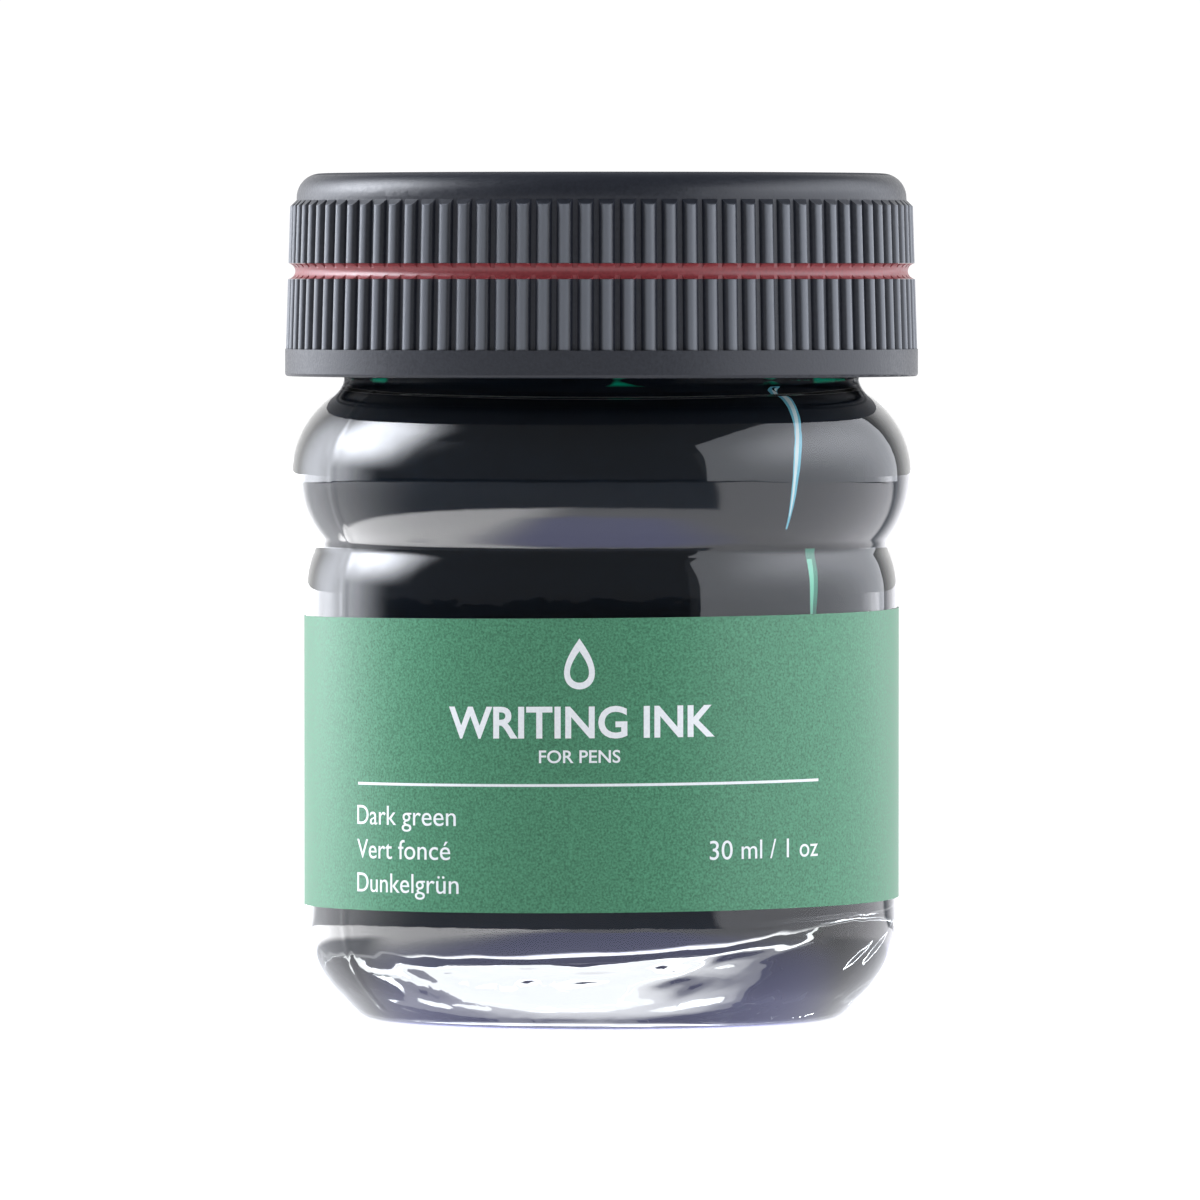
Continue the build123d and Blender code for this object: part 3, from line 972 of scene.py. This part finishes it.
def make_floor():
    """White shooting table, lit from below so that the bottle casts next to no shadow.

    Glass and ink show it as black and white cards would colour it: pale round the
    bottle, behind it and to the right, brightest close on its left, dim elsewhere, and
    black beyond the lights.  Bluish in front and less bright under the heel is a painted
    shadow of the bottle.  A tone may differ between what is mirrored and what is seen
    through the glass.  The camera and the satin finishes see one plain white.
    """
    deselect()
    bpy.ops.mesh.primitive_plane_add(size=TABLE_SIZE, location=(0, 0, TABLE_TOP))
    floor = named("floor")
    settle(floor)
    material, tree, shader = finish_of(
        "White table", Base_Color=(0.12, 0.12, 0.12, 1), Roughness=0.9, Specular_IOR_Level=0.0
    )
    path = add(tree, "ShaderNodeLightPath")
    mask = table_masks(tree)
    mirrored = mixed(tree, mask["beside"], PALE, PALE_LEFT)
    # Bluish front and dimmer heel tones: painted shadow of the bottle.
    mirrored = mixed(tree, mask["bluish"], mirrored, BLUISH_MIRRORED)
    mirrored = mixed(tree, mask["heel"], mirrored, HEEL_MIRRORED)
    through = mixed(tree, mask["bluish"], PALE, BLUISH_THROUGH)
    through = mixed(tree, mask["heel"], through, HEEL_THROUGH)
    tone = mixed(tree, path.outputs["Is Transmission Ray"], mirrored, through)
    elsewhere = mixed(tree, mask["left"], DIM, LEFT_STRIP)
    tone = mixed(tree, mask["pale"], elsewhere, tone)
    tone = mixed(tree, mask["past_lights"], tone, BLACK)
    tone = mixed(tree, path.outputs["Is Singular Ray"], SEEN_SATIN, tone)
    tone = mixed(tree, path.outputs["Is Glossy Ray"], SEEN_STRAIGHT, tone)
    tree.links.new(tone, shader.inputs["Emission Color"])
    shader.inputs["Emission Strength"].default_value = 1.0
    dress(floor, material)


AIM_HEIGHT = 28 * MM
LAMP_COLOUR = (0.90, 0.93, 1.0)


def softbox(
    name, azimuth, elevation, distance, size, radiance, blur, middle=0.0, upright=False, glare=0.0
):
    """Rectangular soft light aimed at the bottle, fading towards its rim.

    Azimuth is nought behind the camera and grows to the right.  Blur is how much of
    the light's width and height fades, from each edge inwards.  Middle adds brightness
    there, and upright keeps the light from leaning.  Glare is the share by which it
    shows brighter in glass and ink than on the other finishes, or dimmer below nought.
    """
    level = cos(radians(elevation)) * distance
    rise = sin(radians(elevation)) * distance
    turn = radians(azimuth)
    target = Vector((0, 0, AIM_HEIGHT))
    place = target + Vector((level * sin(turn), -level * cos(turn), rise))
    deselect()
    bpy.ops.object.light_add(type="AREA", location=place)
    lamp = bpy.context.object
    lamp.name = name
    lamp.data.shape = "RECTANGLE"
    lamp.data.size, lamp.data.size_y = size
    lamp.data.energy = radiance * pi * size[0] * size[1]
    lamp.data.color = LAMP_COLOUR
    if upright:
        target.z = place.z
    lamp.rotation_euler = (target - place).to_track_quat("-Z", "Y").to_euler()
    lamp.visible_camera = False
    soften_edges(lamp, blur, middle, glare)


def soften_edges(lamp, blur, middle, glare):
    """Fade the light's cloth towards its four edges, lift its middle and add glare."""
    half = 0.5
    spot_half = 0.4
    lamp.data.use_nodes = True
    tree = lamp.data.node_tree
    cloth = add(tree, "ShaderNodeNewGeometry")
    split = add(tree, "ShaderNodeSeparateXYZ")
    tree.links.new(cloth.outputs["Parametric"], split.inputs[0])
    edges, spot = [], []
    for socket, fading in zip(("X", "Y"), blur):
        off = maths(tree, "SUBTRACT", split.outputs[socket], half)
        off = maths(tree, "ABSOLUTE", off, 0.0)
        edges.append(ramp_between(tree, off, half - fading, half, reverse=True))
        spot.append(ramp_between(tree, off, 0.0, spot_half, reverse=True))
    lift = maths(tree, "ADD", product(tree, *spot, middle), 1.0)
    path = add(tree, "ShaderNodeLightPath")
    glaring = maths(tree, "ADD", product(tree, path.outputs["Is Singular Ray"], glare), 1.0)
    glow = product(tree, *edges, lift, glaring)
    tree.links.new(glow, tree.nodes["Emission"].inputs["Strength"])


SKY_STRAIGHT = 1.05
SKY_FILL = 0.3
SKY_DARK_SIDE = 0.18
SKY_BACKDROP = 1.1


def make_world():
    """White studio; gloss and glass see it bright behind the bottle and dark elsewhere."""
    world = bpy.data.worlds.new("Studio")
    bpy.context.scene.world = world
    world.use_nodes = True
    tree = world.node_tree
    sky = tree.nodes["Background"]
    path = add(tree, "ShaderNodeLightPath")
    place = add(tree, "ShaderNodeTexCoord")
    split = add(tree, "ShaderNodeSeparateXYZ")
    behind = add(
        tree, "ShaderNodeMapRange", interpolation_type="SMOOTHSTEP",
        From_Min=BACKDROP_FROM, From_Max=BACKDROP_FULL,
        To_Min=SKY_DARK_SIDE, To_Max=SKY_BACKDROP,
    )
    mirrored = add(tree, "ShaderNodeMix", data_type="FLOAT", A=SKY_STRAIGHT)
    filled = add(tree, "ShaderNodeMix", data_type="FLOAT", B=SKY_FILL)
    tree.links.new(place.outputs["Generated"], split.inputs[0])
    tree.links.new(split.outputs["Y"], behind.inputs["Value"])
    tree.links.new(path.outputs["Is Glossy Ray"], mirrored.inputs["Factor"])
    tree.links.new(behind.outputs["Result"], mirrored.inputs["B"])
    tree.links.new(path.outputs["Is Diffuse Ray"], filled.inputs["Factor"])
    tree.links.new(mirrored.outputs["Result"], filled.inputs["A"])
    tree.links.new(filled.outputs["Result"], sky.inputs["Strength"])
    sky.inputs["Color"].default_value = (1, 1, 1, 1)


EYE_HEIGHT = 47.7 * MM
EYE_SIDE = -0.1 * MM
DISTANCE = 906 * MM
MIDDLE = 26.7 * MM
LENS = 425.5
SENSOR = 36
NEAREST_SEEN = 0.01

make_floor()
make_world()
softbox(
    "left softbox", azimuth=-104, elevation=31, distance=0.6, size=(0.62, 0.6),
    radiance=16, blur=(0.45, 0.42), glare=0.3,
)
softbox(
    "left fill", azimuth=-122, elevation=2, distance=0.62, size=(0.80, 0.9),
    radiance=4.2, blur=(0.42, 0.3), glare=-0.53,
)
softbox(
    "right softbox", azimuth=91, elevation=28, distance=0.6, size=(1.38, 0.72),
    radiance=2.1, blur=(0.012, 0.04), middle=1.1, upright=True,
)

bpy.ops.object.camera_add(location=(EYE_SIDE, -DISTANCE, EYE_HEIGHT))
camera = bpy.context.object
camera.data.lens = LENS
camera.data.sensor_width = SENSOR
camera.data.clip_start = NEAREST_SEEN
aim = Vector((EYE_SIDE, 0, MIDDLE)) - camera.location
camera.rotation_euler = aim.to_track_quat("-Z", "Y").to_euler()
bpy.context.scene.camera = camera
bpy.context.scene.view_settings.view_transform = "Standard"
